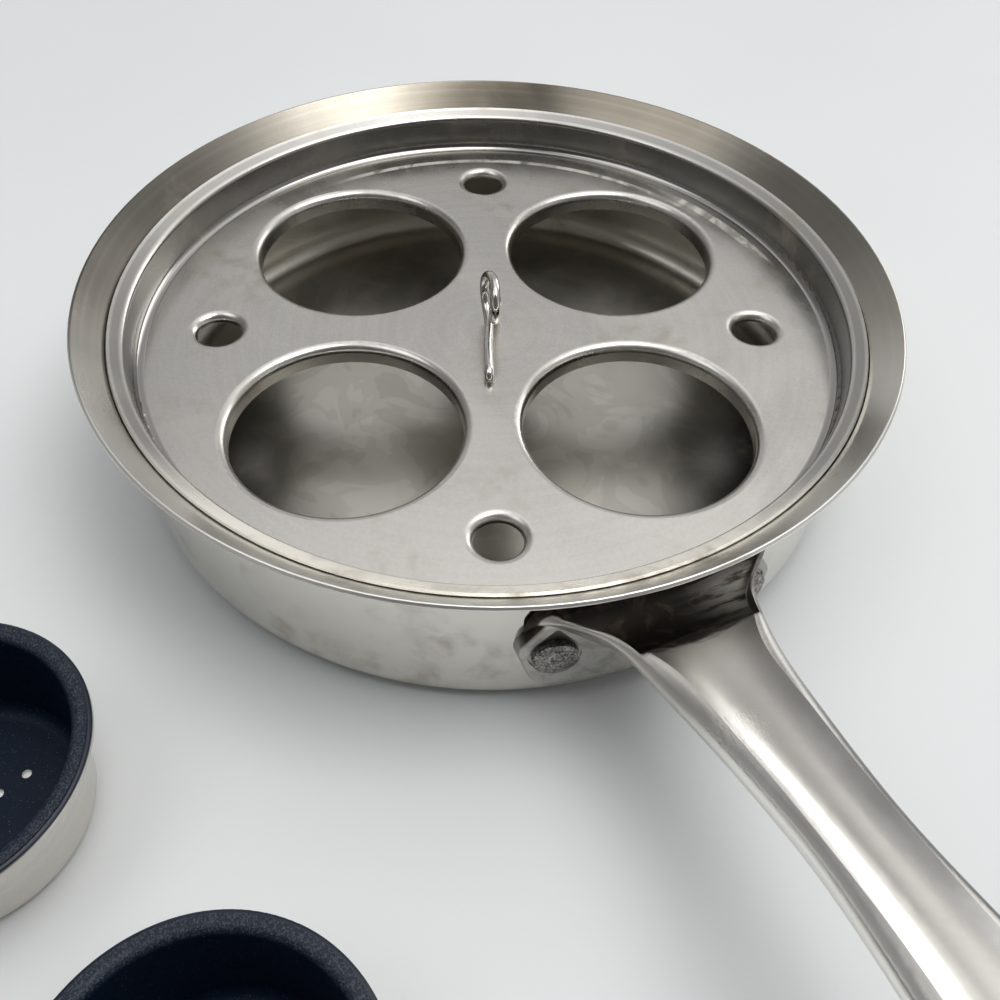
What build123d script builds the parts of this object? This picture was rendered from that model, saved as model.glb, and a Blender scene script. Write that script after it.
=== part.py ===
from build123d import *
import os
from math import asin, cos, degrees, radians, sin, sqrt, tan

# Egg poacher pan: a shallow stainless pan with a flared rim, a riveted cast handle,
# a drop-in tray with four cup seats and a wire lifting loop, and four loose egg cups.
# Millimetres. Z is the pan's axis, the underside is z = 0 and the handle runs along +X.

os.makedirs("parts", exist_ok=True)

# Pan body
rim_diameter = 216.0
pan_wall_diameter = 197.0
pan_height = 51.2
pan_wall = 1.2
pan_base = 2.6
pan_corner_radius = 7.0
flare_bend_radius = 8.0
flare_lean = 45.0

# Insert tray
tray_rim_inset = 7.8
tray_wall_clearance = 1.3
tray_depth = 12.1
tray_sheet = 0.8
tray_wall_draft = 3.0
tray_flange_slope = 27.0
tray_corner_radius = 2.5
tray_roll_radius = 1.6
tray_seat_clearance = 0.3
tray_turn = 69.4
cup_circle_diameter = 106.0
cup_opening_diameter = 60.0
cup_lip_radius = 2.4
cup_lip_drop = 3.2
steam_circle_diameter = 149.3
steam_hole_diameter = 12.0
steam_lip_radius = 2.3
steam_lip_drop = 0.1
hole_count = 4

# Wire lifting loop
wire_diameter = 2.5
loop_eye_reach = 7.1
loop_eye_height = 13.5
loop_leg_height = 2.9
loop_foot_reach = 22.3
loop_foot_bend = 2.6
strand_gap = 0.2
strand_lean = 1.4
foot_offset = 0.75
foot_head_diameter = 4.4
foot_head_height = 0.8

# Handle and its bracket
handle_length = 191.5
handle_waist_width = 19.2
handle_thickness = 10.0
handle_root_top = 37.0
handle_rise = 32.0
handle_trough = 3.0
hang_hole_diameter = 10.0
hang_hole_inset = 15.0
bracket_width = 65.2
bracket_top_width = 50.4
bracket_bottom_width = 57.6
bracket_top = 37.4
bracket_tip_height = 24.9
bracket_bottom = 12.0
bracket_corner_radius = 5.0
bracket_thickness = 3.0
bracket_edge_radius = 0.8
rivet_pad_diameter = 12.4
rivet_pad_thickness = 2.4
pad_point_height = 8.8
pad_point_radius = 0.8
root_scoop_radius = 10.0
root_scoop_offset = 7.2
root_scoop_depth = 1.5
root_ridge_width = 1.3
joint_clearance = 0.05

# Rivets
rivet_spread = 48.4
rivet_height = 23.5
rivet_shank_diameter = 5.0
rivet_head_diameter = 10.8
rivet_head_side = 1.8
rivet_dome_height = 1.3
rivet_tail_height = 1.4

# Egg cups
cup_height = 28.0
cup_rim_diameter = 65.0
cup_top_diameter = 58.6
cup_base_diameter = 54.0
cup_sheet = 0.8
cup_corner_radius = 4.0
cup_shoulder_radius = 1.6
cup_edge_radius = 0.9
cup_edge_drop = 1.6
lining_thickness = 0.3
lining_gap = 0.03
lining_margin = 1.0
vent_diameter = 2.2
vent_ring_diameter = 13.4
vent_rings = 2
vent_turn = 23.0

# Where each loose cup stands: its distance from the pan's axis, and its bearing
first_cup_reach = 170.3
first_cup_angle = -63.5
second_cup_reach = 195.8
second_cup_angle = -36.0
third_cup_reach = 203.5
third_cup_angle = -85.4
fourth_cup_reach = 242.6
fourth_cup_angle = -52.3
cup_places = {
    "cup_1": (first_cup_reach, first_cup_angle),
    "cup_2": (second_cup_reach, second_cup_angle),
    "cup_3": (third_cup_reach, third_cup_angle),
    "cup_4": (fourth_cup_reach, fourth_cup_angle),
}

# Handle stations from the wall to the tip. Each row has shares of: the handle's length, its
# waist width at the edge and at the crest, its rise, its thickness, its trough's depth, how
# full the side is below the edge, and how far down its thickness the edge lies.
handle_station_shares = (
    (-0.020, 3.15, 2.75, 0.040, 1.90, 0.15, 0.30, 0.45),
    (-0.006, 2.91, 2.62, 0.040, 1.80, 0.15, 0.30, 0.16),
    (0.015, 2.45, 2.36, 0.045, 1.60, 0.20, 0.30, 0.04),
    (0.040, 1.97, 1.86, 0.070, 1.30, 0.80, 0.42, 0.08),
    (0.072, 1.68, 1.45, 0.125, 1.10, 1.00, 0.56, 0.18),
    (0.115, 1.49, 1.07, 0.181, 1.00, 1.00, 0.68, 0.32),
    (0.195, 1.24, 0.89, 0.288, 1.00, 0.95, 0.72, 0.42),
    (0.270, 1.09, 0.81, 0.386, 1.00, 0.90, 0.72, 0.42),
    (0.355, 1.00, 0.76, 0.497, 1.00, 0.85, 0.72, 0.42),
    (0.440, 1.08, 0.77, 0.609, 1.00, 0.80, 0.72, 0.42),
    (0.540, 1.24, 0.88, 0.725, 0.96, 0.70, 0.72, 0.42),
    (0.720, 1.44, 1.08, 0.885, 0.88, 0.50, 0.72, 0.42),
    (0.860, 1.46, 1.14, 0.970, 0.80, 0.35, 0.72, 0.42),
    (1.000, 1.36, 1.06, 1.000, 0.76, 0.30, 0.72, 0.42),
)
underside_width_share = 0.55
underside_belly_share = 0.10
tip_round_share = 1.37

# Worked out from the sizes above
rim_radius = rim_diameter / 2
pan_wall_radius = pan_wall_diameter / 2
lean = radians(flare_lean)
rim_edge_height = pan_height - pan_wall * sin(lean)
flare_length = (rim_radius - pan_wall_radius - flare_bend_radius * (1 - cos(lean))) / sin(lean)
flare_start = rim_edge_height - flare_length * cos(lean) - flare_bend_radius * sin(lean)
inner_bend_radius = flare_bend_radius + pan_wall
flare_seat_radius = pan_wall_radius + flare_bend_radius - inner_bend_radius * cos(lean)
flare_seat_height = flare_start + inner_bend_radius * sin(lean)
inner_corner_radius = pan_corner_radius - pan_wall

tray_rim_radius = rim_radius - tray_rim_inset
tray_wall_radius = pan_wall_radius - pan_wall - tray_wall_clearance
slope = radians(tray_flange_slope)
tray_edge_drop = tray_sheet * cos(slope)
tray_edge_inset = tray_sheet * sin(slope)
tray_edge_bottom = (
    flare_seat_height
    + (tray_rim_radius + tray_seat_clearance / cos(lean) - flare_seat_radius) / tan(lean)
)
tray_edge_top = tray_edge_bottom + tray_edge_drop
plate_top = tray_edge_top - tray_depth
plate_bottom = plate_top - tray_sheet
tray_flange_end = tray_rim_radius - tray_edge_inset
tray_step_top = tray_edge_top - (tray_flange_end - tray_wall_radius) * tan(slope)
tray_step_bottom_radius = tray_wall_radius - (tray_step_top - plate_top) * tan(radians(tray_wall_draft))
cup_circle_radius = cup_circle_diameter / 2
steam_circle_radius = steam_circle_diameter / 2
half_pitch = 360.0 / hole_count / 2

wall_contact_radius = pan_wall_radius + joint_clearance
handle_tip = pan_wall_radius + handle_length
rivet_angle = degrees(asin(rivet_spread / 2 / (pan_wall_radius + rivet_pad_thickness)))
rivet_shank_radius = rivet_shank_diameter / 2
rivet_head_radius = rivet_head_diameter / 2
pad_face = wall_contact_radius + rivet_pad_thickness
wall_sag = pan_wall_radius - pan_wall - sqrt((pan_wall_radius - pan_wall) ** 2 - rivet_head_radius**2)
inner_face = pan_wall_radius - pan_wall - wall_sag - joint_clearance


def stamped_lip(opening_radius, bend_radius, drop):
    """A ring of sheet that turns down from the plate into a round opening, top at z = 0."""
    with BuildPart() as lip:
        with BuildSketch(Plane.XZ):
            with BuildLine():
                bend = JernArc((opening_radius + bend_radius, 0), (-1, 0), bend_radius, 90)
                Line(bend @ 1, (opening_radius, -bend_radius - drop))
                offset(amount=tray_sheet, side=Side.LEFT)
            make_face()
        revolve(axis=Axis.Z)
    return lip.part


# Pan body: one revolved wall with a thicker base, a rounded corner and a flared rim
with BuildPart() as pan_body:
    with BuildSketch(Plane.XZ) as pan_profile:
        with BuildLine():
            underside = Line((0, 0), (pan_wall_radius - pan_corner_radius, 0))
            corner = JernArc(underside @ 1, (1, 0), pan_corner_radius, 90)
            outer_wall = Line(corner @ 1, (pan_wall_radius, flare_start))
            outer_bend = JernArc(outer_wall @ 1, (0, 1), flare_bend_radius, -flare_lean)
            outer_flare = PolarLine(outer_bend @ 1, flare_length, 90 - flare_lean)
            rim_edge = PolarLine(outer_flare @ 1, pan_wall, 180 - flare_lean)
            inner_flare = PolarLine(rim_edge @ 1, flare_length, 270 - flare_lean)
            inner_bend = JernArc(
                inner_flare @ 1, (-sin(lean), -cos(lean)), inner_bend_radius, flare_lean
            )
            inner_wall = Line(
                inner_bend @ 1, (pan_wall_radius - pan_wall, pan_base + inner_corner_radius)
            )
            inner_corner = JernArc(inner_wall @ 1, (0, -1), inner_corner_radius, -90)
            floor_line = Line(inner_corner @ 1, (0, pan_base))
            Line(floor_line @ 1, (0, 0))
        make_face()
        rim_corners = pan_profile.vertices().sort_by(Axis.X)[-2:]
        fillet(rim_corners, radius=pan_wall / 3)
    revolve(axis=Axis.Z)
    for side in (-1, 1):
        bearing = radians(side * rivet_angle)
        drill_plane = Plane(
            origin=(0, 0, rivet_height),
            x_dir=(0, 0, 1),
            z_dir=(cos(bearing), sin(bearing), 0),
        )
        with BuildSketch(drill_plane.offset(pan_wall_radius - pan_corner_radius)):
            Circle(rivet_shank_radius + joint_clearance)
        extrude(amount=pan_corner_radius + pan_wall, mode=Mode.SUBTRACT)
pan_body.part.label = "pan_body"


# The tray's own directions: the loop stands in the plane through two steam holes
loop_bearing = radians(tray_turn + 2 * half_pitch)
loop_plane = Plane(
    origin=(0, 0, 0), x_dir=(cos(loop_bearing), sin(loop_bearing), 0), z_dir=(0, 0, 1)
)

# Insert tray: a stamped sheet with a sloped flange, a steep step, four lipped cup seats
# and four lipped steam holes between them
with BuildPart() as insert_tray:
    with BuildSketch(Plane.XZ):
        with BuildLine():
            FilletPolyline(
                (0, plate_top),
                (tray_step_bottom_radius, plate_top),
                (tray_wall_radius, tray_step_top),
                (tray_flange_end, tray_edge_top),
                radius=(tray_corner_radius, tray_roll_radius),
            )
            offset(amount=tray_sheet, side=Side.RIGHT)
        make_face()
    revolve(axis=Axis.Z)
    cup_lip = stamped_lip(cup_opening_diameter / 2, cup_lip_radius, cup_lip_drop)
    steam_lip = stamped_lip(steam_hole_diameter / 2, steam_lip_radius, steam_lip_drop)
    with Locations((0, 0, plate_top)):
        with PolarLocations(cup_circle_radius, hole_count, start_angle=tray_turn + half_pitch):
            Hole(radius=cup_opening_diameter / 2 + cup_lip_radius)
            add(cup_lip)
        with PolarLocations(steam_circle_radius, hole_count, start_angle=tray_turn):
            Hole(radius=steam_hole_diameter / 2 + steam_lip_radius)
            add(steam_lip)
    with Locations(loop_plane):
        with Locations((-loop_foot_reach, foot_offset), (loop_foot_reach, -foot_offset)):
            Hole(radius=wire_diameter / 2 + joint_clearance)
insert_tray.part.label = "insert_tray"


# Lifting loop: one wire from foot to foot, with a full upright turn in the middle whose
# end comes down over its start, and a peened head under the plate at each foot
foot_bottom = plate_bottom - joint_clearance - foot_head_height
leg_height = plate_top + loop_leg_height
leg_start = loop_foot_reach - loop_foot_bend
leg_foot_top = leg_height - loop_foot_bend
bend_middle = loop_foot_bend * (1 - cos(radians(45)))
eye_step = 360.0 / 8
crossing_rise = wire_diameter + strand_gap
eye_lean_shares = (0.25, 0.70, 1.00, 0.45, -0.50, -0.80, -0.85, -0.80, -0.85)
eye_lean_share_beyond = -1.5
reach_share_beyond = 0.75
rise_share_beyond = 0.6
eye_points = []
for step, lean_share in enumerate(eye_lean_shares):
    turned = radians(step * eye_step)
    rise = crossing_rise * step / (len(eye_lean_shares) - 1)
    upright = (loop_eye_height - crossing_rise / 2) / 2 * (1 - cos(turned))
    eye_points.append(
        (loop_eye_reach * sin(turned), lean_share * strand_lean, leg_height + upright + rise)
    )
eye_points.append(
    (
        loop_eye_reach * reach_share_beyond,
        strand_lean * eye_lean_share_beyond,
        leg_height + crossing_rise * rise_share_beyond,
    )
)
with BuildPart() as lift_loop:
    with BuildLine(loop_plane) as wire_path:
        front_foot = (-loop_foot_reach, foot_offset, leg_foot_top)
        front_leg = (-leg_start, foot_offset, leg_height)
        back_leg = (leg_start, -foot_offset, leg_height)
        back_foot = (loop_foot_reach, -foot_offset, leg_foot_top)
        Line((-loop_foot_reach, foot_offset, foot_bottom), front_foot)
        ThreePointArc(
            front_foot,
            (bend_middle - loop_foot_reach, foot_offset, leg_height - bend_middle),
            front_leg,
        )
        Spline(
            front_leg,
            (-leg_start / 2, foot_offset, leg_height),
            *eye_points,
            back_leg,
            tangents=((1, 0, 0), (1, 0, 0)),
        )
        ThreePointArc(
            back_leg,
            (loop_foot_reach - bend_middle, -foot_offset, leg_height - bend_middle),
            back_foot,
        )
        Line(back_foot, (loop_foot_reach, -foot_offset, foot_bottom))
    with BuildSketch(Plane(origin=wire_path.line @ 0, z_dir=wire_path.line % 0)):
        Circle(wire_diameter / 2)
    sweep(path=wire_path.line)
    with BuildSketch(loop_plane.offset(foot_bottom)):
        with Locations((-loop_foot_reach, foot_offset), (loop_foot_reach, -foot_offset)):
            Circle(foot_head_diameter / 2)
    extrude(amount=foot_head_height)
lift_loop.part.label = "lift_loop"


# Bracket band: a plate that hugs the pan's wall, with an ear at each end
with BuildPart() as bracket_band:
    with BuildSketch(Plane.YZ.offset(pan_wall_radius / 2)):
        with BuildLine():
            FilletPolyline(
                (bracket_top_width / 2, bracket_top),
                (bracket_width / 2, bracket_tip_height),
                (bracket_bottom_width / 2, bracket_bottom),
                (-bracket_bottom_width / 2, bracket_bottom),
                (-bracket_width / 2, bracket_tip_height),
                (-bracket_top_width / 2, bracket_top),
                radius=bracket_corner_radius,
                close=True,
            )
        make_face()
    extrude(amount=pan_wall_radius)
    Cylinder(
        radius=wall_contact_radius + bracket_thickness,
        height=rim_diameter,
        mode=Mode.INTERSECT,
    )
    outer_band_face = bracket_band.faces().filter_by(GeomType.CYLINDER).sort_by(Axis.X)[-1]
    fillet(outer_band_face.edges(), radius=bracket_edge_radius)

# Root scoop: a shallow hollow across the handle's top between the wall and a crease. Its plan
# follows the handle's edge and leaves a thin ridge along each side
scoop_middle = pan_wall_radius + root_scoop_offset
scoop_centre_height = handle_root_top - root_scoop_depth + root_scoop_radius
ridge_points = []
for along, edge, *_ in handle_station_shares[1:6]:
    ridge_points.append(
        (pan_wall_radius + along * handle_length, edge * handle_waist_width / 2 - root_ridge_width)
    )
with BuildPart() as root_scoop:
    with BuildSketch(Plane.XY):
        with BuildLine():
            ridge = Spline(*ridge_points)
            Line((ridge_points[0][0], 0), ridge @ 0)
            Line(ridge @ 1, (ridge_points[-1][0], 0))
            mirror(about=Plane.XZ)
        make_face()
    extrude(amount=rim_diameter / 2)
    with Locations((scoop_middle, 0, scoop_centre_height)):
        Cylinder(
            radius=root_scoop_radius,
            height=bracket_width * 2,
            rotation=(90, 0, 0),
            mode=Mode.INTERSECT,
        )

# Handle: cast in one piece with its bracket, with a dished top that fades towards the tip
with BuildPart() as handle:
    for along, edge, crest, rise, thick, dish, fullness, drop in handle_station_shares:
        edge_half = edge * handle_waist_width / 2
        crest_half = crest * handle_waist_width / 2
        under_half = edge_half * underside_width_share
        top = handle_root_top + rise * handle_rise
        depth = thick * handle_thickness
        edge_height = top - depth * drop
        belly_height = top - depth * (1 - underside_belly_share)
        edge_bulge = crest_half + (edge_half - crest_half) * sin(radians(45))
        edge_shoulder = top - (top - edge_height) * (1 - cos(radians(45)))
        side_half = under_half + (edge_half - under_half) * fullness
        side_height = edge_height - (edge_height - belly_height) * sin(radians(45))
        station = Plane(
            origin=(pan_wall_radius + along * handle_length, 0, 0),
            x_dir=(0, 1, 0),
            z_dir=(1, 0, 0),
        )
        with BuildSketch(station):
            with BuildLine():
                ThreePointArc((-crest_half, top), (0, top - dish * handle_trough), (crest_half, top))
                ThreePointArc((crest_half, top), (edge_bulge, edge_shoulder), (edge_half, edge_height))
                ThreePointArc((edge_half, edge_height), (side_half, side_height), (under_half, belly_height))
                ThreePointArc((under_half, belly_height), (0, top - depth), (-under_half, belly_height))
                ThreePointArc((-under_half, belly_height), (-side_half, side_height), (-edge_half, edge_height))
                ThreePointArc((-edge_half, edge_height), (-edge_bulge, edge_shoulder), (-crest_half, top))
            make_face()
    loft()
    add(bracket_band.part)
    add(root_scoop.part, mode=Mode.SUBTRACT)
    Cylinder(radius=wall_contact_radius, height=rim_diameter, mode=Mode.SUBTRACT)
    with BuildSketch(Plane.XY) as tip_outline:
        tip_radius = tip_round_share * handle_waist_width / 2
        with Locations((handle_tip - tip_radius, 0)):
            Circle(tip_radius)
        with Locations(((handle_tip - tip_radius) / 2, 0)):
            Rectangle(handle_tip - tip_radius, bracket_width)
    extrude(amount=rim_diameter, mode=Mode.INTERSECT)
    for side in (-1, 1):
        bearing = radians(side * rivet_angle)
        pad_plane = Plane(
            origin=(pad_face * cos(bearing), pad_face * sin(bearing), rivet_height),
            x_dir=(0, 0, 1),
            z_dir=(cos(bearing), sin(bearing), 0),
        )
        with BuildSketch(pad_plane):
            Circle(rivet_pad_diameter / 2)
            with Locations((pad_point_height, 0)):
                Circle(pad_point_radius)
            make_hull()
        extrude(amount=bracket_thickness * 2, mode=Mode.SUBTRACT)
        with BuildSketch(pad_plane):
            Circle(rivet_shank_radius + joint_clearance)
        extrude(amount=-bracket_thickness * 2, mode=Mode.SUBTRACT)
    with Locations((handle_tip - hang_hole_inset, 0, 0)):
        Hole(radius=hang_hole_diameter / 2)
handle.part.label = "handle"


def make_rivet(name, side):
    """A rivet set through the ear and the wall: low domed head outside, flat head inside."""
    bearing = radians(side * rivet_angle)
    head_start = pad_face + joint_clearance
    dome_start = head_start + rivet_head_side
    head_end = dome_start + rivet_dome_height
    dome_radius = (rivet_head_radius**2 + rivet_dome_height**2) / (2 * rivet_dome_height)
    half_dome = asin(rivet_head_radius / dome_radius) / 2
    tail_end = inner_face - rivet_tail_height
    with BuildPart() as rivet:
        side_plane = Plane(
            origin=(0, 0, rivet_height),
            x_dir=(cos(bearing), sin(bearing), 0),
            z_dir=(sin(bearing), -cos(bearing), 0),
        )
        with BuildSketch(side_plane):
            with BuildLine():
                Polyline(
                    (head_end, 0),
                    (tail_end, 0),
                    (tail_end, rivet_head_radius - rivet_tail_height / 2),
                    (tail_end + rivet_tail_height / 2, rivet_head_radius),
                    (inner_face, rivet_head_radius),
                    (inner_face, rivet_shank_radius),
                    (head_start, rivet_shank_radius),
                    (head_start, rivet_head_radius),
                    (dome_start, rivet_head_radius),
                )
                ThreePointArc(
                    (dome_start, rivet_head_radius),
                    (head_end - dome_radius * (1 - cos(half_dome)), dome_radius * sin(half_dome)),
                    (head_end, 0),
                )
            make_face()
        revolve(axis=Axis((0, 0, rivet_height), (cos(bearing), sin(bearing), 0)))
    rivet.part.label = name
    return rivet.part


# Egg cups: a spun steel shell with a rolled edge, and a non-stick lining inside and over the rim
cup_top_inner = cup_top_diameter / 2 - cup_sheet
cup_base_inner = cup_base_diameter / 2 - cup_sheet
cup_rim_radius = cup_rim_diameter / 2


def cup_plane(reach, bearing):
    """An upright plane through a cup's axis, and that axis."""
    centre = (reach * cos(radians(bearing)), reach * sin(radians(bearing)), 0)
    return Plane(origin=centre, x_dir=(1, 0, 0), z_dir=(0, -1, 0)), Axis(centre, (0, 0, 1))


def cut_vents(reach, bearing):
    """Vent holes through a cup's floor, on the arms of a cross."""
    plane, _ = cup_plane(reach, bearing)
    for ring in range(1, vent_rings + 1):
        with Locations(plane.origin):
            with PolarLocations(ring * vent_ring_diameter / 2, hole_count, start_angle=vent_turn):
                Hole(radius=vent_diameter / 2)


def make_cup(name, reach, bearing):
    """The cup's shell, from the floor up over the flat rim to its turned-down edge."""
    plane, axis = cup_plane(reach, bearing)
    with BuildPart() as cup:
        with BuildSketch(plane):
            with BuildLine():
                FilletPolyline(
                    (0, cup_sheet),
                    (cup_base_inner, cup_sheet),
                    (cup_top_inner, cup_height),
                    (cup_rim_radius, cup_height),
                    (cup_rim_radius, cup_height - cup_edge_drop),
                    radius=(cup_corner_radius, cup_shoulder_radius, cup_edge_radius),
                )
                offset(amount=cup_sheet, side=Side.RIGHT)
            make_face()
        revolve(axis=axis)
        cut_vents(reach, bearing)
    cup.part.label = name
    return cup.part


def make_lining(name, reach, bearing):
    """The non-stick lining, a thin skin over the cup's inside and the top of its rim."""
    plane, axis = cup_plane(reach, bearing)
    with BuildPart() as lining:
        with BuildSketch(plane):
            with BuildLine():
                FilletPolyline(
                    (0, cup_sheet + lining_gap),
                    (cup_base_inner - lining_gap, cup_sheet + lining_gap),
                    (cup_top_inner - lining_gap, cup_height + lining_gap),
                    (cup_rim_radius - lining_margin, cup_height + lining_gap),
                    radius=(cup_corner_radius - lining_gap, cup_shoulder_radius + lining_gap),
                )
                offset(amount=lining_thickness, side=Side.LEFT)
            make_face()
        revolve(axis=axis)
        cut_vents(reach, bearing)
    lining.part.label = name
    return lining.part


pieces = [pan_body.part, insert_tray.part, lift_loop.part, handle.part]
pieces.append(make_rivet("rivet_left", -1))
pieces.append(make_rivet("rivet_right", 1))
for cup_name, (cup_reach, cup_bearing) in cup_places.items():
    pieces.append(make_cup(cup_name, cup_reach, cup_bearing))
    pieces.append(make_lining(cup_name + "_lining", cup_reach, cup_bearing))

for piece in pieces:
    export_step(piece, "parts/" + piece.label + ".step")
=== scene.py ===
from math import cos, radians, sin

import bpy
from mathutils import Matrix, Vector


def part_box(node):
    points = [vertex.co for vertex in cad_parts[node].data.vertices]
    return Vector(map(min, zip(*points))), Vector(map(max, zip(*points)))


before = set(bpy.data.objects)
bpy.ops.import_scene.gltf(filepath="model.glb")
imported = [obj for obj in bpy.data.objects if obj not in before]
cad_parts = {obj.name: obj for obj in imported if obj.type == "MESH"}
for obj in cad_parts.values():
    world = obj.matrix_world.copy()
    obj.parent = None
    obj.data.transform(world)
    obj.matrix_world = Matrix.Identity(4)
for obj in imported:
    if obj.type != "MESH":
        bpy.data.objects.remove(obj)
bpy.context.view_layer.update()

# Camera, solved from the photograph in the model's frame
camera_place = Vector((0.208565, -0.088860, 0.218596))
camera_bearing = radians(155.713)
camera_tilt = radians(48.613185)
camera_roll = radians(2.2683838)
camera_lens = 37.3875
camera_sensor = 36.0
camera_clip = 0.005

# Shades: linear red, green and blue, and an alpha of 1
warm_stain = (0.42, 0.385, 0.33, 1)
pan_clean = (0.74, 0.72, 0.67, 1)
# A warm heat tint on the flared rim, deepened into painted shade on its far side
rim_tint_and_shade = (0.24, 0.215, 0.172, 1)
# Painted shade on the flared rim's left side
rim_side_shade = (0.095, 0.088, 0.077, 1)
# Painted light on the flared rim's near side
near_rim_painted_light = (0.86, 0.845, 0.80, 1)
water_mark_pale = (0.53, 0.51, 0.465, 1)
water_mark_dark = (0.42, 0.405, 0.36, 1)
# Painted shade on the near floor under the tray
near_floor_painted_shade = (0.08, 0.08, 0.077, 1)
# Painted light pooled in the pan's far inner corner, below the tray's holes
corner_painted_light = (0.80, 0.765, 0.69, 1)
tray_clean = (0.64, 0.625, 0.59, 1)
# The colour of the tray's painted pale reflections
painted_gleam_shade = (0.90, 0.865, 0.78, 1)
handle_clean = (0.59, 0.57, 0.53, 1)
handle_stain = (0.45, 0.425, 0.38, 1)
# Dull grey of the scuffed ears, also used as painted shade on the handle's right flank
handle_dull_and_shade = (0.34, 0.33, 0.31, 1)
# Painted shade in the handle's root hollow and crevice, mottled with the rusty tint below
painted_root_shade = (0.035, 0.032, 0.028, 1)
handle_rust = (0.078, 0.060, 0.047, 1)
# Painted shade on the handle's right edge, and painted highlights on its left slope and crest
right_edge_painted_shade = (0.13, 0.125, 0.118, 1)
left_slope_highlight = (0.86, 0.845, 0.81, 1)
left_crest_highlight = (0.90, 0.88, 0.84, 1)
rivet_clean = (0.26, 0.25, 0.235, 1)
rivet_stain = (0.10, 0.095, 0.087, 1)
grit_pale = (0.50, 0.49, 0.465, 1)
grit_dark = (0.04, 0.04, 0.037, 1)
wire_clean = (0.62, 0.60, 0.57, 1)
wire_stain = (0.40, 0.37, 0.32, 1)
cup_clean = (0.62, 0.60, 0.56, 1)
lining_shade = (0.0022, 0.0080, 0.0220, 1)
fleck_shade = (0.11, 0.12, 0.13, 1)
floor_shade = (0.76, 0.78, 0.785, 1)
floor_mottle = (0.80, 0.82, 0.825, 1)
dim_corner_shade = (0.12, 0.12, 0.12, 1)
dark_side_shade = (0.10, 0.10, 0.10, 1)

# Scales of the lathe rings' noise
fine_rings = 2600.0
broad_rings = 420.0
tint_rings = 300.0

# The pan's zones, each a mask's two ends: along a radius, a height, or a reach to one side
inside_radius = (0.0974, 0.0979)
inside_height = (0.0010, 0.0020)
flare_height = (0.0400, 0.0440)
# Where the rim's warm tint and its painted shade lie
tint_and_shade_reach = (-0.060, 0.000)
tint_aside = (-0.102, -0.050)
paler_reach = (0.086, 0.106)
# Where the painted shade on the rim's left side lies
rim_side_shade_reach = (0.062, 0.097)
# Where the painted light on the rim's near side lies
lit_near_rim_reach = (-0.075, -0.045)
# Where the painted shade on the near floor lies
near_floor_shade_radius = (0.052, 0.082)
near_floor_shade_reach = (-0.01, 0.02)
# Where the painted light in the far inner corner lies
corner_radius = (0.086, 0.091)
corner_reach = (0.030, 0.060)
corner_height = (0.007, 0.012)

# The tray's bands of painted shade: inner and outer radius, soft edge, extra polish, shade
tray_shade_bands = (
    (0.0936, 0.0950, 0.0008, 0.12, 0.40),
    (0.0952, 0.0960, 0.0006, 0.0, 0.25),
    (0.0974, 0.0988, 0.0006, 0.0, 0.40),
)
# The tray's painted pale reflections, laid in arcs: inner and outer radius, soft edge, bearing, the
# reaches towards it where the arc starts and is full, and how much of it stays between its patches.
# Where they lie, they take off part of the metal's sheen.
tray_gleam_arcs = (
    (0.0866, 0.0876, 0.0007, 150.0, 0.0600, 0.0760, 0.25),
    (0.0884, 0.0908, 0.0006, 106.0, 0.0860, 0.0885, 0.25),
    (0.0968, 0.0998, 0.0006, 335.7, 0.0560, 0.0860, 0.80),
)
gleam_cover = 0.6

# The handle's zones, as mask ends along X, Y or Z
hollow_start = 0.0970
hollow_stretch = 41.7
hollow_half_widths = ((0.0, 0.0266), (0.18, 0.0222), (0.38, 0.0176), (0.64, 0.0148), (1.0, 0.0130))
hollow_edge = (-0.0002, 0.0006)
hollow_right = (0.0, 0.002)
root_end = (0.1165, 0.1180)
root_ragged = 0.004
root_height = (0.0340, 0.0355)
crevice_radius = (0.1008, 0.1013)
crevice_height = (0.0250, 0.0290)
bare_side = (-0.004, 0.020)
flank_side = (0.0010, 0.0030)
edge_start = (0.125, 0.150)
right_edge_side = (0.0050, 0.0070)
left_slope_side = (0.0, 0.0020)
scuffed_height = (0.0330, 0.0345)
dull_end = (0.122, 0.150)
scratch_centre = (0.1375, -0.0055, 0.0465)
scratch_radius = (0.002, 0.008)

# The cups: how many, and how far below the rim the coating's edge and its rubbed part reach
cup_count = 4
coating_drop = 0.0007
coating_soft = 0.0003
rubbed_drop = 0.0015

floor_radius = 4.0
floor_sides = 96

# The room's light: brightness by height, from level to straight above, then a dim corner, dark
# sides by bearing, elevation, start and depth, and windows by bearing, elevation and brightness
sky_steps = ((0.0, 0.60), (0.55, 0.52), (0.70, 0.62), (0.84, 1.22), (1.0, 1.10))
sky_blue = 1.01
dim_corner = (-24.0, 30.0)
dim_corner_span = (0.30, 0.95)
dark_sides = ((75.0, 0.0, 0.86, 0.2), (235.0, 28.0, 0.60, 0.66), (218.0, 47.0, 0.88, 0.35))
dark_side_full = 0.97
windows = ((116.0, 31.0, 1.30), (113.0, 13.0, 3.60))
window_span = (0.950, 0.988)


def pointing(bearing, elevation=0.0):
    """The direction at a bearing and an elevation, both in degrees."""
    level = cos(radians(elevation))
    return (
        cos(radians(bearing)) * level,
        sin(radians(bearing)) * level,
        sin(radians(elevation)),
    )


# Level directions towards the sides where the pan's tint, painted shade and painted light vary
far_side = pointing(155.713)
dark_rim_side = pointing(243.0)
paler_side = pointing(196.0)


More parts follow.
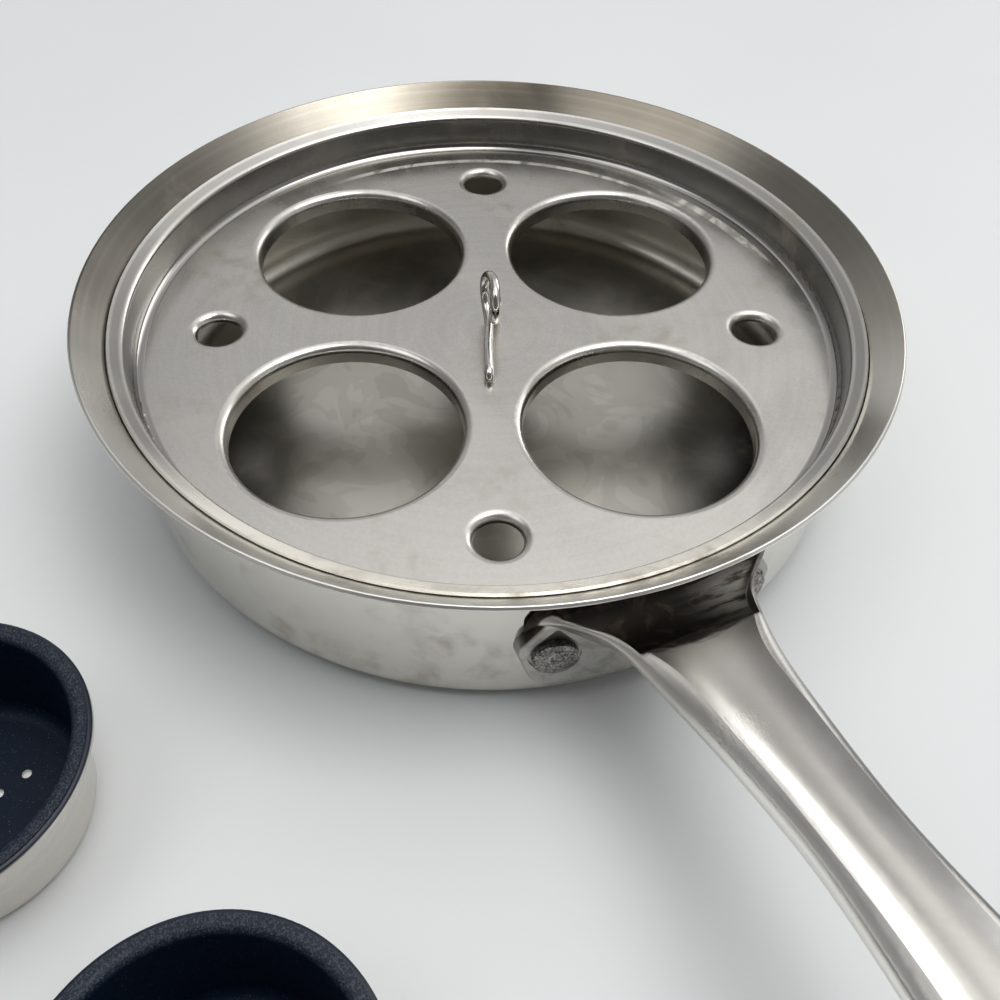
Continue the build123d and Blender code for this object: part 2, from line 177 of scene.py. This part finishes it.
class Nodes:
    """Short calls for building one node tree."""

    def __init__(self, tree):
        self.tree = tree
        self.tree.nodes.clear()

    def add(self, kind, **settings):
        node = self.tree.nodes.new(kind)
        for name, value in settings.items():
            setattr(node, name, value)
        return node

    def link(self, source, target):
        self.tree.links.new(source, target)

    def put(self, socket, value):
        """Sets a socket to a constant, or links another node's output to it."""
        if isinstance(value, bpy.types.NodeSocket):
            self.link(value, socket)
        else:
            socket.default_value = value

    def fill(self, node, values):
        for name, value in values.items():
            self.put(node.inputs[name], value)

    def math(self, operation, first, second=0.0, clamp=False):
        node = self.add("ShaderNodeMath", operation=operation, use_clamp=clamp)
        self.put(node.inputs[0], first)
        self.put(node.inputs[1], second)
        return node.outputs[0]

    def vector_math(self, operation, first, second, output="Vector"):
        node = self.add("ShaderNodeVectorMath", operation=operation)
        self.put(node.inputs[0], first)
        self.put(node.inputs[1], second)
        return node.outputs[output]

    def times(self, first, *others):
        """The product of masks."""
        for other in others:
            first = self.math("MULTIPLY", first, other)
        return first

    def raised(self, value, mask, amount, clamp=False):
        """A value, raised by the amount where the mask is 1."""
        return self.math("ADD", value, self.times(mask, amount), clamp)

    def inverse(self, mask):
        return self.math("SUBTRACT", 1.0, mask)

    def point(self):
        """The shaded point in the model's frame."""
        return self.add("ShaderNodeTexCoord").outputs["Object"]

    def split(self, vector):
        node = self.add("ShaderNodeSeparateXYZ")
        self.link(vector, node.inputs["Vector"])
        return node.outputs["X"], node.outputs["Y"], node.outputs["Z"]

    def coords(self, scale=(1, 1, 1), turn=(0, 0, 0)):
        """The shaded point, stretched and turned for a noise."""
        node = self.add("ShaderNodeMapping")
        self.fill(node, {"Scale": scale, "Rotation": turn, "Vector": self.point()})
        return node.outputs["Vector"]

    def reach(self, direction):
        """How far a point lies from the pan's axis towards a level direction."""
        return self.vector_math("DOT_PRODUCT", self.point(), direction, "Value")

    def noise(self, vector, scale, detail=4.0, rough=0.55, distort=0.0):
        node = self.add("ShaderNodeTexNoise")
        self.fill(node, {"Vector": vector, "Scale": scale, "Detail": detail})
        self.fill(node, {"Roughness": rough, "Distortion": distort})
        return node.outputs["Fac"]

    def span(self, value, low, high, out_low=0.0, out_high=1.0):
        """A smooth step from out_low, where the value is low, to out_high."""
        node = self.add("ShaderNodeMapRange", interpolation_type="SMOOTHSTEP")
        self.fill(node, {"Value": value, "From Min": low, "From Max": high})
        self.fill(node, {"To Min": out_low, "To Max": out_high})
        return node.outputs["Result"]

    def fade(self, value, low, high):
        """A smooth step from 1 down to 0."""
        return self.span(value, low, high, 1.0, 0.0)

    def band(self, value, start, end, soft):
        """A mask that is 1 between start and end, with soft edges."""
        return self.times(self.span(value, start - soft, start), self.fade(value, end, end + soft))

    def mix(self, factor, first, second):
        node = self.add("ShaderNodeMix", data_type="RGBA")
        self.fill(node, {"Factor": factor, "A": first, "B": second})
        return node.outputs["Result"]

    def ramp(self, factor, steps, blue=1.0):
        """A grey ramp through steps of place and brightness."""
        node = self.add("ShaderNodeValToRGB")
        self.put(node.inputs["Fac"], factor)
        for place, _ in steps[1:-1]:
            node.color_ramp.elements.new(place)
        for element, (place, shade) in zip(node.color_ramp.elements, steps):
            element.position = place
            element.color = (shade, shade, shade * blue, 1)
        return node.outputs["Color"]

    def bump(self, height, strength, distance, normal=None):
        node = self.add("ShaderNodeBump")
        self.fill(node, {"Height": height, "Strength": strength, "Distance": distance})
        if normal is not None:
            self.link(normal, node.inputs["Normal"])
        return node.outputs["Normal"]


def new_material(name):
    material = bpy.data.materials.new(name)
    material.use_nodes = True
    nodes = Nodes(material.node_tree)
    shader = nodes.add("ShaderNodeBsdfPrincipled")
    output = nodes.add("ShaderNodeOutputMaterial")
    nodes.link(shader.outputs["BSDF"], output.inputs["Surface"])
    return material, nodes, shader


def new_metal(name):
    material, nodes, shader = new_material(name)
    shader.inputs["Metallic"].default_value = 1.0
    return material, nodes, shader


def from_axis(nodes, centre=(0, 0, 0)):
    """Distance from an upright axis, and height."""
    shifted = nodes.vector_math("SUBTRACT", nodes.point(), centre)
    flat = nodes.vector_math("MULTIPLY", shifted, (1, 1, 0))
    length = nodes.add("ShaderNodeVectorMath", operation="LENGTH")
    nodes.link(flat, length.inputs[0])
    return length.outputs["Value"], nodes.split(shifted)[2]


def lathe_rings(nodes, distance, height, scale):
    """Rings about the axis: noise that varies only with distance and height."""
    join = nodes.add("ShaderNodeCombineXYZ")
    nodes.fill(join, {"X": distance, "Y": height})
    return nodes.noise(join.outputs["Vector"], scale, detail=3.0, rough=0.6)


def hairlines(nodes):
    """Hairline scratches in two directions."""
    one = nodes.noise(nodes.coords((40, 1, 8), (0.1, 0.0, 0.5)), 60.0, detail=2.0, rough=0.5)
    two = nodes.noise(nodes.coords((1, 36, 8), (0.0, 0.1, 0.9)), 60.0, detail=2.0, rough=0.5)
    return nodes.math("ADD", nodes.span(one, 0.64, 0.70), nodes.span(two, 0.64, 0.70))


def stains(nodes, amount):
    """Small irregular stains, gathered in clouds."""
    cloud = nodes.noise(nodes.coords(), 34.0, detail=5.0, rough=0.58, distort=0.4)
    speck = nodes.noise(nodes.coords(), 150.0, detail=3.0, rough=0.55)
    both = nodes.times(nodes.span(cloud, 0.46, 0.74), nodes.span(speck, 0.38, 0.70))
    return nodes.math("MULTIPLY", both, amount, clamp=True)


def smears(nodes, smooth, dull):
    """A roughness that drifts in broad smears between smooth and dull."""
    smear = nodes.noise(nodes.coords(), 22.0, detail=4.0, rough=0.6, distort=0.5)
    return nodes.span(smear, 0.38, 0.68, smooth, dull)


def finish_spun(nodes, shader, rings, stained, worn):
    """Adds rings and stains to a roughness, and the relief of rings and scratches."""
    worn = nodes.math("ADD", worn, nodes.span(rings, 0.3, 0.7, -0.01, 0.01))
    worn = nodes.raised(worn, stained, 0.10, clamp=True)
    normal = nodes.bump(rings, strength=0.02, distance=0.0001)
    normal = nodes.bump(hairlines(nodes), strength=0.03, distance=0.0001, normal=normal)
    nodes.fill(shader, {"Roughness": worn, "Normal": normal})


def painted_shade_bands(nodes, distance, tone, worn, bands):
    """Lays bands of painted shade, and of smoother polish, over a tone and a roughness."""
    for start, end, soft, polish, shade in bands:
        band = nodes.band(distance, start, end, soft)
        tone = nodes.mix(band, tone, (shade, shade * 0.98, shade * 0.93, 1))
        worn = nodes.math("SUBTRACT", worn, nodes.times(band, polish))
    return tone, worn


def painted_gleams(nodes, distance, tone, arcs):
    """Lays patchy arcs of painted pale reflection over a tone, and says where they are."""
    gleam = 0.0
    for start, end, soft, bearing, near, full, least in arcs:
        band = nodes.band(distance, start, end, soft)
        facing = nodes.span(nodes.reach(pointing(bearing)), near, full)
        patch = nodes.noise(nodes.coords(), 95.0, detail=3.0, rough=0.55, distort=0.8)
        arc = nodes.times(band, facing, nodes.span(patch, 0.36, 0.54, least, 1.0))
        tone = nodes.mix(arc, tone, painted_gleam_shade)
        gleam = nodes.math("MAXIMUM", gleam, arc)
    return tone, gleam


def spun_steel(
    name, clean, stain, smooth, dull, centre=(0, 0, 0), stain_amount=1.0, bands=(), arcs=(), coated=None
):
    """Polished sheet steel with rings, smears, stains and hairlines. It can have bands of painted shade
    and arcs of painted pale reflection, and coated is the height above which the lining's coating wraps
    over the edge."""
    material, nodes, shader = new_metal(name)
    distance, height = from_axis(nodes, centre)
    rings = lathe_rings(nodes, distance, height, fine_rings)
    stained = stains(nodes, stain_amount)
    broad = lathe_rings(nodes, distance, height, broad_rings)
    tone = nodes.mix(nodes.span(broad, 0.35, 0.65, 0.0, 0.12), clean, stain)
    grain = nodes.noise(nodes.coords(), 900.0, detail=4.0, rough=0.7)
    tone = nodes.mix(nodes.span(grain, 0.35, 0.65, 0.0, 0.16), tone, stain)
    worn = smears(nodes, smooth, dull)
    tone, worn = painted_shade_bands(nodes, distance, tone, worn, bands)
    # Painted pale reflections, less metallic where they lie
    if arcs:
        tone, gleam = painted_gleams(nodes, distance, tone, arcs)
        bare = nodes.inverse(nodes.times(gleam, gleam_cover))
        nodes.link(bare, shader.inputs["Metallic"])
    tone = nodes.mix(stained, tone, stain)
    if coated:
        wrapped = nodes.span(height, coated, coated + coating_soft)
        tone = nodes.mix(wrapped, tone, lining_shade)
        worn = nodes.raised(worn, wrapped, 0.30)
        nodes.link(nodes.inverse(wrapped), shader.inputs["Metallic"])
    nodes.link(tone, shader.inputs["Base Color"])
    finish_spun(nodes, shader, rings, stained, worn)
    return material


def pan_inside(nodes, distance, height, far):
    """The pan's inside: grey water marks, a ring of painted shade on the near floor, and painted light
    pooled in the far corner.
    """
    patch = nodes.noise(nodes.coords(), 42.0, detail=3.0, rough=0.5, distort=1.2)
    low_marks = nodes.span(patch, 0.40, 0.43, 0.0, 0.5)
    high_marks = nodes.span(patch, 0.52, 0.55, 0.0, 0.5)
    tone = nodes.mix(nodes.math("ADD", low_marks, high_marks), water_mark_pale, water_mark_dark)
    # Painted shade on the near floor, under the tray
    near_floor_shading = nodes.times(nodes.span(distance, *near_floor_shade_radius), nodes.fade(far, *near_floor_shade_reach))
    tone = nodes.mix(near_floor_shading, tone, near_floor_painted_shade)
    # Painted light pooled in the far corner, where light falls through the tray's holes
    lit_corner = nodes.times(
        nodes.span(distance, *corner_radius),
        nodes.span(far, *corner_reach),
        nodes.fade(height, *corner_height),
    )
    return nodes.mix(lit_corner, tone, corner_painted_light)


def pan_steel(name):
    """The pan: polished outside, duller inside, a warm heat tint on the flared rim deepened into
    painted shade on its far and left sides, and painted light on the rim's near side.
    """
    material, nodes, shader = new_metal(name)
    distance, height = from_axis(nodes)
    rings = lathe_rings(nodes, distance, height, fine_rings)
    rough_rings = lathe_rings(nodes, distance, height, tint_rings)
    inside = nodes.times(nodes.fade(distance, *inside_radius), nodes.span(height, *inside_height))
    flared = nodes.span(height, *flare_height)
    far = nodes.reach(far_side)
    aside = nodes.reach(dark_rim_side)
    # The flared rim's warm tint, deepened into painted shade on the far side and paler towards one side
    tinted_and_shaded = nodes.times(
        flared,
        nodes.span(far, *tint_and_shade_reach),
        nodes.span(rough_rings, 0.30, 0.60, 0.92, 1.0),
        nodes.span(aside, *tint_aside, 0.62, 1.0),
    )
    stained = nodes.times(stains(nodes, 1.0), nodes.span(tinted_and_shaded, 0.0, 1.0, 1.0, 0.3))
    tinted_and_shaded = nodes.times(tinted_and_shaded, nodes.span(nodes.reach(paler_side), *paler_reach, 1.0, 0.78))
    # Painted shade on the left side of the flared rim
    rim_side_shading = nodes.times(tinted_and_shaded, nodes.span(aside, *rim_side_shade_reach))
    # Painted light on the near side of the flared rim
    lit_near_rim = nodes.times(flared, nodes.fade(far, *lit_near_rim_reach))
    tone = nodes.mix(rim_side_shading, nodes.mix(tinted_and_shaded, pan_clean, rim_tint_and_shade), rim_side_shade)
    tone = nodes.mix(lit_near_rim, tone, near_rim_painted_light)
    tone = nodes.mix(inside, tone, pan_inside(nodes, distance, height, far))
    nodes.link(nodes.mix(stained, tone, warm_stain), shader.inputs["Base Color"])
    worn = smears(nodes, 0.07, 0.15)
    for mask, amount in ((flared, 0.12), (lit_near_rim, 0.12), (rim_side_shading, 0.20), (inside, 0.26)):
        worn = nodes.raised(worn, mask, amount)
    finish_spun(nodes, shader, rings, stained, worn)
    return material


def root_shade(nodes, along, across, height, streak):
    """A mask of painted shade on the handle: in the hollow at its root, and in the crevice at the wall.
    """
    place = nodes.times(nodes.math("SUBTRACT", along, hollow_start), hollow_stretch)
    half_width = nodes.ramp(place, hollow_half_widths)
    within = nodes.math("SUBTRACT", half_width, nodes.math("ABSOLUTE", across))
    hollow = nodes.span(within, *hollow_edge)
    hollow = nodes.math("MAXIMUM", hollow, nodes.span(across, *hollow_right, 0.0, 0.6))
    ragged = nodes.raised(along, streak, root_ragged)
    bare = nodes.times(nodes.span(across, *bare_side), nodes.span(streak, 0.30, 0.55))
    shaded_root = nodes.times(
        nodes.fade(ragged, *root_end),
        hollow,
        nodes.span(height, *root_height),
        nodes.span(bare, 0.0, 1.0, 1.0, 0.66),
    )
    distance, level = from_axis(nodes)
    # Painted shade in the crevice where the handle meets the wall
    shaded_crevice = nodes.times(nodes.fade(distance, *crevice_radius), nodes.span(level, *crevice_height))
    shaded_root = nodes.math("MAXIMUM", shaded_root, shaded_crevice)
    return nodes.times(shaded_root, nodes.span(streak, 0.62, 0.82, 1.0, 0.6))


def handle_edge_light(nodes, tone, along, across, facing):
    """Paints shade on the handle's right edge, and painted highlights on the dished top's left slope
    and crest.
    """
    beyond_root = nodes.span(along, *edge_start)
    to_right = nodes.times(nodes.span(facing, 0.15, 0.45), beyond_root)
    shaded_right_edge = nodes.times(to_right, nodes.span(across, *right_edge_side))
    lit_left_slope = nodes.times(to_right, nodes.fade(across, *left_slope_side))
    lit_left_crest = nodes.times(nodes.fade(facing, -0.50, -0.25), beyond_root)
    tone = nodes.mix(shaded_right_edge, tone, right_edge_painted_shade)
    tone = nodes.mix(lit_left_slope, tone, left_slope_highlight)
    return nodes.mix(lit_left_crest, tone, left_crest_highlight)


def cast_steel(name):
    """Buffed cast steel: fine lines along it, a scratched patch, painted shade on one flank, painted
    shade and highlights along the top's edges, scuffed ears, and painted shade with a rusty tint in the
    root."""
    material, nodes, shader = new_metal(name)
    along, across, height = nodes.split(nodes.point())
    facing = nodes.split(nodes.add("ShaderNodeTexCoord").outputs["Normal"])[1]
    grain = nodes.noise(nodes.coords((0.05, 1, 1)), 1300.0, detail=3.0, rough=0.6)
    cloud = nodes.noise(nodes.coords(), 48.0, detail=5.0, rough=0.6, distort=0.3)
    streak = nodes.noise(nodes.coords((6, 1, 1)), 90.0, detail=4.0, rough=0.6)
    scuff = nodes.noise(nodes.coords(), 210.0, detail=4.0, rough=0.65, distort=0.6)
    hatch = nodes.noise(nodes.coords((1, 14, 3), (0, 0, 1.0)), 320.0, detail=3.0, rough=0.6)
    away = nodes.vector_math("DISTANCE", nodes.point(), scratch_centre, "Value")
    scratched = nodes.times(nodes.fade(away, *scratch_radius), nodes.span(hatch, 0.44, 0.60))
    shaded_root = root_shade(nodes, along, across, height, streak)
    smudge = nodes.span(cloud, 0.50, 0.75, 0.0, 0.5)
    # Painted shade on the handle's right flank
    shaded_flank = nodes.times(nodes.span(facing, 0.03, 0.16), nodes.span(across, *flank_side))
    tone = nodes.mix(shaded_flank, nodes.mix(smudge, handle_clean, handle_stain), handle_dull_and_shade)
    tone = handle_edge_light(nodes, tone, along, across, facing)
    low = nodes.fade(height, *scuffed_height)
    scuffed = nodes.times(low, nodes.span(scuff, 0.40, 0.62, 0.35, 0.9))
    tone = nodes.mix(scuffed, tone, handle_dull_and_shade)
    # Painted shade in the root, mottled with a rusty tint
    root_shade_and_rust = nodes.mix(nodes.span(scuff, 0.50, 0.66), painted_root_shade, handle_rust)
    nodes.link(nodes.mix(shaded_root, tone, root_shade_and_rust), shader.inputs["Base Color"])
    worn = nodes.span(cloud, 0.35, 0.65, 0.20, 0.27)
    worn = nodes.math("ADD", worn, nodes.span(along, *dull_end, 0.13, 0.0))
    worn = nodes.raised(worn, scratched, 0.12)
    worn = nodes.raised(worn, shaded_root, 0.10, clamp=True)
    normal = nodes.bump(grain, strength=0.03, distance=0.0002)
    normal = nodes.bump(scratched, strength=0.13, distance=0.0002, normal=normal)
    nodes.fill(shader, {"Roughness": worn, "Normal": normal})
    return material


def rivet_steel(name):
    """Hammered rivet steel: dull, pitted and gritty."""
    material, nodes, shader = new_metal(name)
    pits = nodes.noise(nodes.coords(), 620.0, detail=4.0, rough=0.65, distort=0.4)
    dents = nodes.noise(nodes.coords(), 260.0, detail=2.0, rough=0.5)
    grit = nodes.noise(nodes.coords(), 1500.0, detail=3.0, rough=0.7)
    tone = nodes.mix(nodes.span(pits, 0.35, 0.62), rivet_stain, rivet_clean)
    tone = nodes.mix(nodes.span(grit, 0.54, 0.60, 0.0, 0.8), tone, grit_pale)
    tone = nodes.mix(nodes.span(grit, 0.38, 0.43, 0.8, 0.0), tone, grit_dark)
    worn = nodes.span(pits, 0.3, 0.7, 0.46, 0.28)
    normal = nodes.bump(pits, strength=0.25, distance=0.0005)
    normal = nodes.bump(dents, strength=0.35, distance=0.0010, normal=normal)
    nodes.fill(shader, {"Base Color": tone, "Roughness": worn, "Normal": normal})
    return material


def drawn_wire(name):
    """Bright drawn wire with faint drag lines and specks."""
    material, nodes, shader = new_metal(name)
    drag = nodes.noise(nodes.coords((1, 1, 0.1)), 1800.0, detail=3.0, rough=0.6)
    specks = nodes.noise(nodes.coords(), 500.0, detail=3.0, rough=0.6)
    tone = nodes.mix(nodes.span(specks, 0.5, 0.8), wire_clean, wire_stain)
    worn = nodes.span(specks, 0.3, 0.7, 0.06, 0.14)
    normal = nodes.bump(drag, strength=0.06, distance=0.0002)
    nodes.fill(shader, {"Base Color": tone, "Roughness": worn, "Normal": normal})
    return material


def flecked_lining(name, rim_height):
    """Dark non-stick coating with fine pale flecks and a pebbled skin, rubbed paler at the rim."""
    material, nodes, shader = new_material(name)
    cells = nodes.add("ShaderNodeTexVoronoi")
    nodes.fill(cells, {"Vector": nodes.coords(), "Scale": 1500.0})
    fine = nodes.noise(nodes.coords(), 2600.0, detail=3.0, rough=0.7)
    cloud = nodes.noise(nodes.coords(), 120.0, detail=4.0, rough=0.6)
    grain = nodes.noise(nodes.coords(), 2600.0, detail=2.0, rough=0.6)
    dots = nodes.fade(cells.outputs["Distance"], 0.10, 0.28)
    flecks = nodes.times(dots, nodes.span(fine, 0.5, 0.62))
    height = nodes.split(nodes.point())[2]
    rubbed = nodes.span(height, rim_height - rubbed_drop, rim_height)
    grit = nodes.times(nodes.span(grain, 0.45, 0.65, 0.0, 0.38), rubbed)
    flecks = nodes.math("MAXIMUM", flecks, grit)
    tone = nodes.mix(flecks, lining_shade, fleck_shade)
    sheen = nodes.span(rubbed, 0.0, 1.0, 0.20, 0.32)
    worn = nodes.span(cloud, 0.3, 0.7, 0.44, 0.56)
    normal = nodes.bump(fine, strength=0.30, distance=0.0004)
    nodes.fill(shader, {"Base Color": tone, "Specular IOR Level": sheen})
    nodes.fill(shader, {"Roughness": worn, "Normal": normal})
    return material


def floor_paper(name):
    """Matt sheet with a faint mottle."""
    material, nodes, shader = new_material(name)
    cloud = nodes.noise(nodes.coords(), 3.0, detail=3.0, rough=0.5)
    tone = nodes.mix(nodes.span(cloud, 0.3, 0.7), floor_shade, floor_mottle)
    nodes.fill(shader, {"Base Color": tone, "Roughness": 0.55})
    return material


def dress(node, material):
    """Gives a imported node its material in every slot."""
    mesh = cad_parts[node].data
    if not mesh.materials:
        mesh.materials.append(material)
    for index in range(len(mesh.materials)):
        mesh.materials[index] = material


dress("pan_body", pan_steel("pan_steel"))
tray_shades = (tray_clean, warm_stain)
# The tray carries bands of painted shade and arcs of painted pale reflection
tray = spun_steel("tray_steel", *tray_shades, 0.22, 0.36, bands=tray_shade_bands, arcs=tray_gleam_arcs)
dress("insert_tray", tray)
dress("handle", cast_steel("handle_steel"))
dress("lift_loop", drawn_wire("wire_steel"))
for rivet in ("rivet_left", "rivet_right"):
    dress(rivet, rivet_steel(rivet + "_steel"))
lining = flecked_lining("cup_lining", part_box("cup_1")[1][2])
for number in range(1, cup_count + 1):
    cup = f"cup_{number}"
    low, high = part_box(cup)
    foot = ((low[0] + high[0]) / 2, (low[1] + high[1]) / 2, 0)
    edge = high[2] - coating_drop
    steel = spun_steel(cup + "_steel", cup_clean, warm_stain, 0.07, 0.16, foot, 0.5, coated=edge)
    dress(cup, steel)
    dress(cup + "_lining", lining)

bpy.ops.mesh.primitive_circle_add(
    vertices=floor_sides, radius=floor_radius, fill_type="NGON", location=(0, 0, 0)
)
floor = bpy.context.object
floor.name = "floor"
floor.data.materials.append(floor_paper("floor_paper"))


def soft_light(name, place, target, size, power, colour):
    """A square soft box at place, facing target."""
    data = bpy.data.lights.new(name, "AREA")
    data.shape = "SQUARE"
    data.size = size
    data.energy = power
    data.color = colour
    lamp = bpy.data.objects.new(name, data)
    bpy.context.scene.collection.objects.link(lamp)
    lamp.location = place
    lamp.rotation_euler = (Vector(target) - Vector(place)).to_track_quat("-Z", "Y").to_euler()


lit_point = (0.05, 0, 0)
soft_light("key", (0.30, 0.35, 1.45), lit_point, size=0.9, power=9.0, colour=(1.0, 0.99, 0.97))
soft_light("fill", (0.00, -0.80, 1.30), lit_point, size=0.8, power=2.5, colour=(0.97, 0.98, 1.0))

# The room around the pan, which its steel reflects
world = bpy.data.worlds.new("studio")
bpy.context.scene.world = world
world.use_nodes = True
sky = Nodes(world.node_tree)
direction = sky.add("ShaderNodeTexCoord").outputs["Generated"]


def towards(bearing, elevation):
    """How far a direction of view points to a bearing and an elevation: 1 is straight at it."""
    return sky.vector_math("DOT_PRODUCT", direction, pointing(bearing, elevation), "Value")


light = sky.ramp(sky.split(direction)[2], sky_steps, sky_blue)
light = sky.mix(sky.span(towards(*dim_corner), *dim_corner_span), light, dim_corner_shade)
for bearing, elevation, start, depth in dark_sides:
    side = sky.span(towards(bearing, elevation), start, dark_side_full, 0.0, depth)
    light = sky.mix(side, light, dark_side_shade)
for bearing, elevation, shade in windows:
    window = sky.span(towards(bearing, elevation), *window_span)
    light = sky.mix(window, light, (shade, shade, shade, 1))
background = sky.add("ShaderNodeBackground")
sky.fill(background, {"Strength": 1.0, "Color": light})
world_output = sky.add("ShaderNodeOutputWorld")
sky.link(background.outputs["Background"], world_output.inputs["Surface"])

# Camera at the photograph's viewing angle
level = cos(camera_tilt)
forward = Vector((cos(camera_bearing) * level, sin(camera_bearing) * level, -sin(camera_tilt)))
level_right = Vector((sin(camera_bearing), -cos(camera_bearing), 0))
level_up = level_right.cross(forward)
right = cos(camera_roll) * level_right + sin(camera_roll) * level_up
up = cos(camera_roll) * level_up - sin(camera_roll) * level_right
camera_data = bpy.data.cameras.new("camera")
camera_data.lens = camera_lens
camera_data.sensor_width = camera_sensor
camera_data.clip_start = camera_clip
camera = bpy.data.objects.new("camera", camera_data)
bpy.context.scene.collection.objects.link(camera)
turn = Matrix((right, up, -forward)).transposed().to_4x4()
camera.matrix_world = Matrix.Translation(camera_place) @ turn
bpy.context.scene.camera = camera
bpy.context.scene.view_settings.view_transform = "Standard"
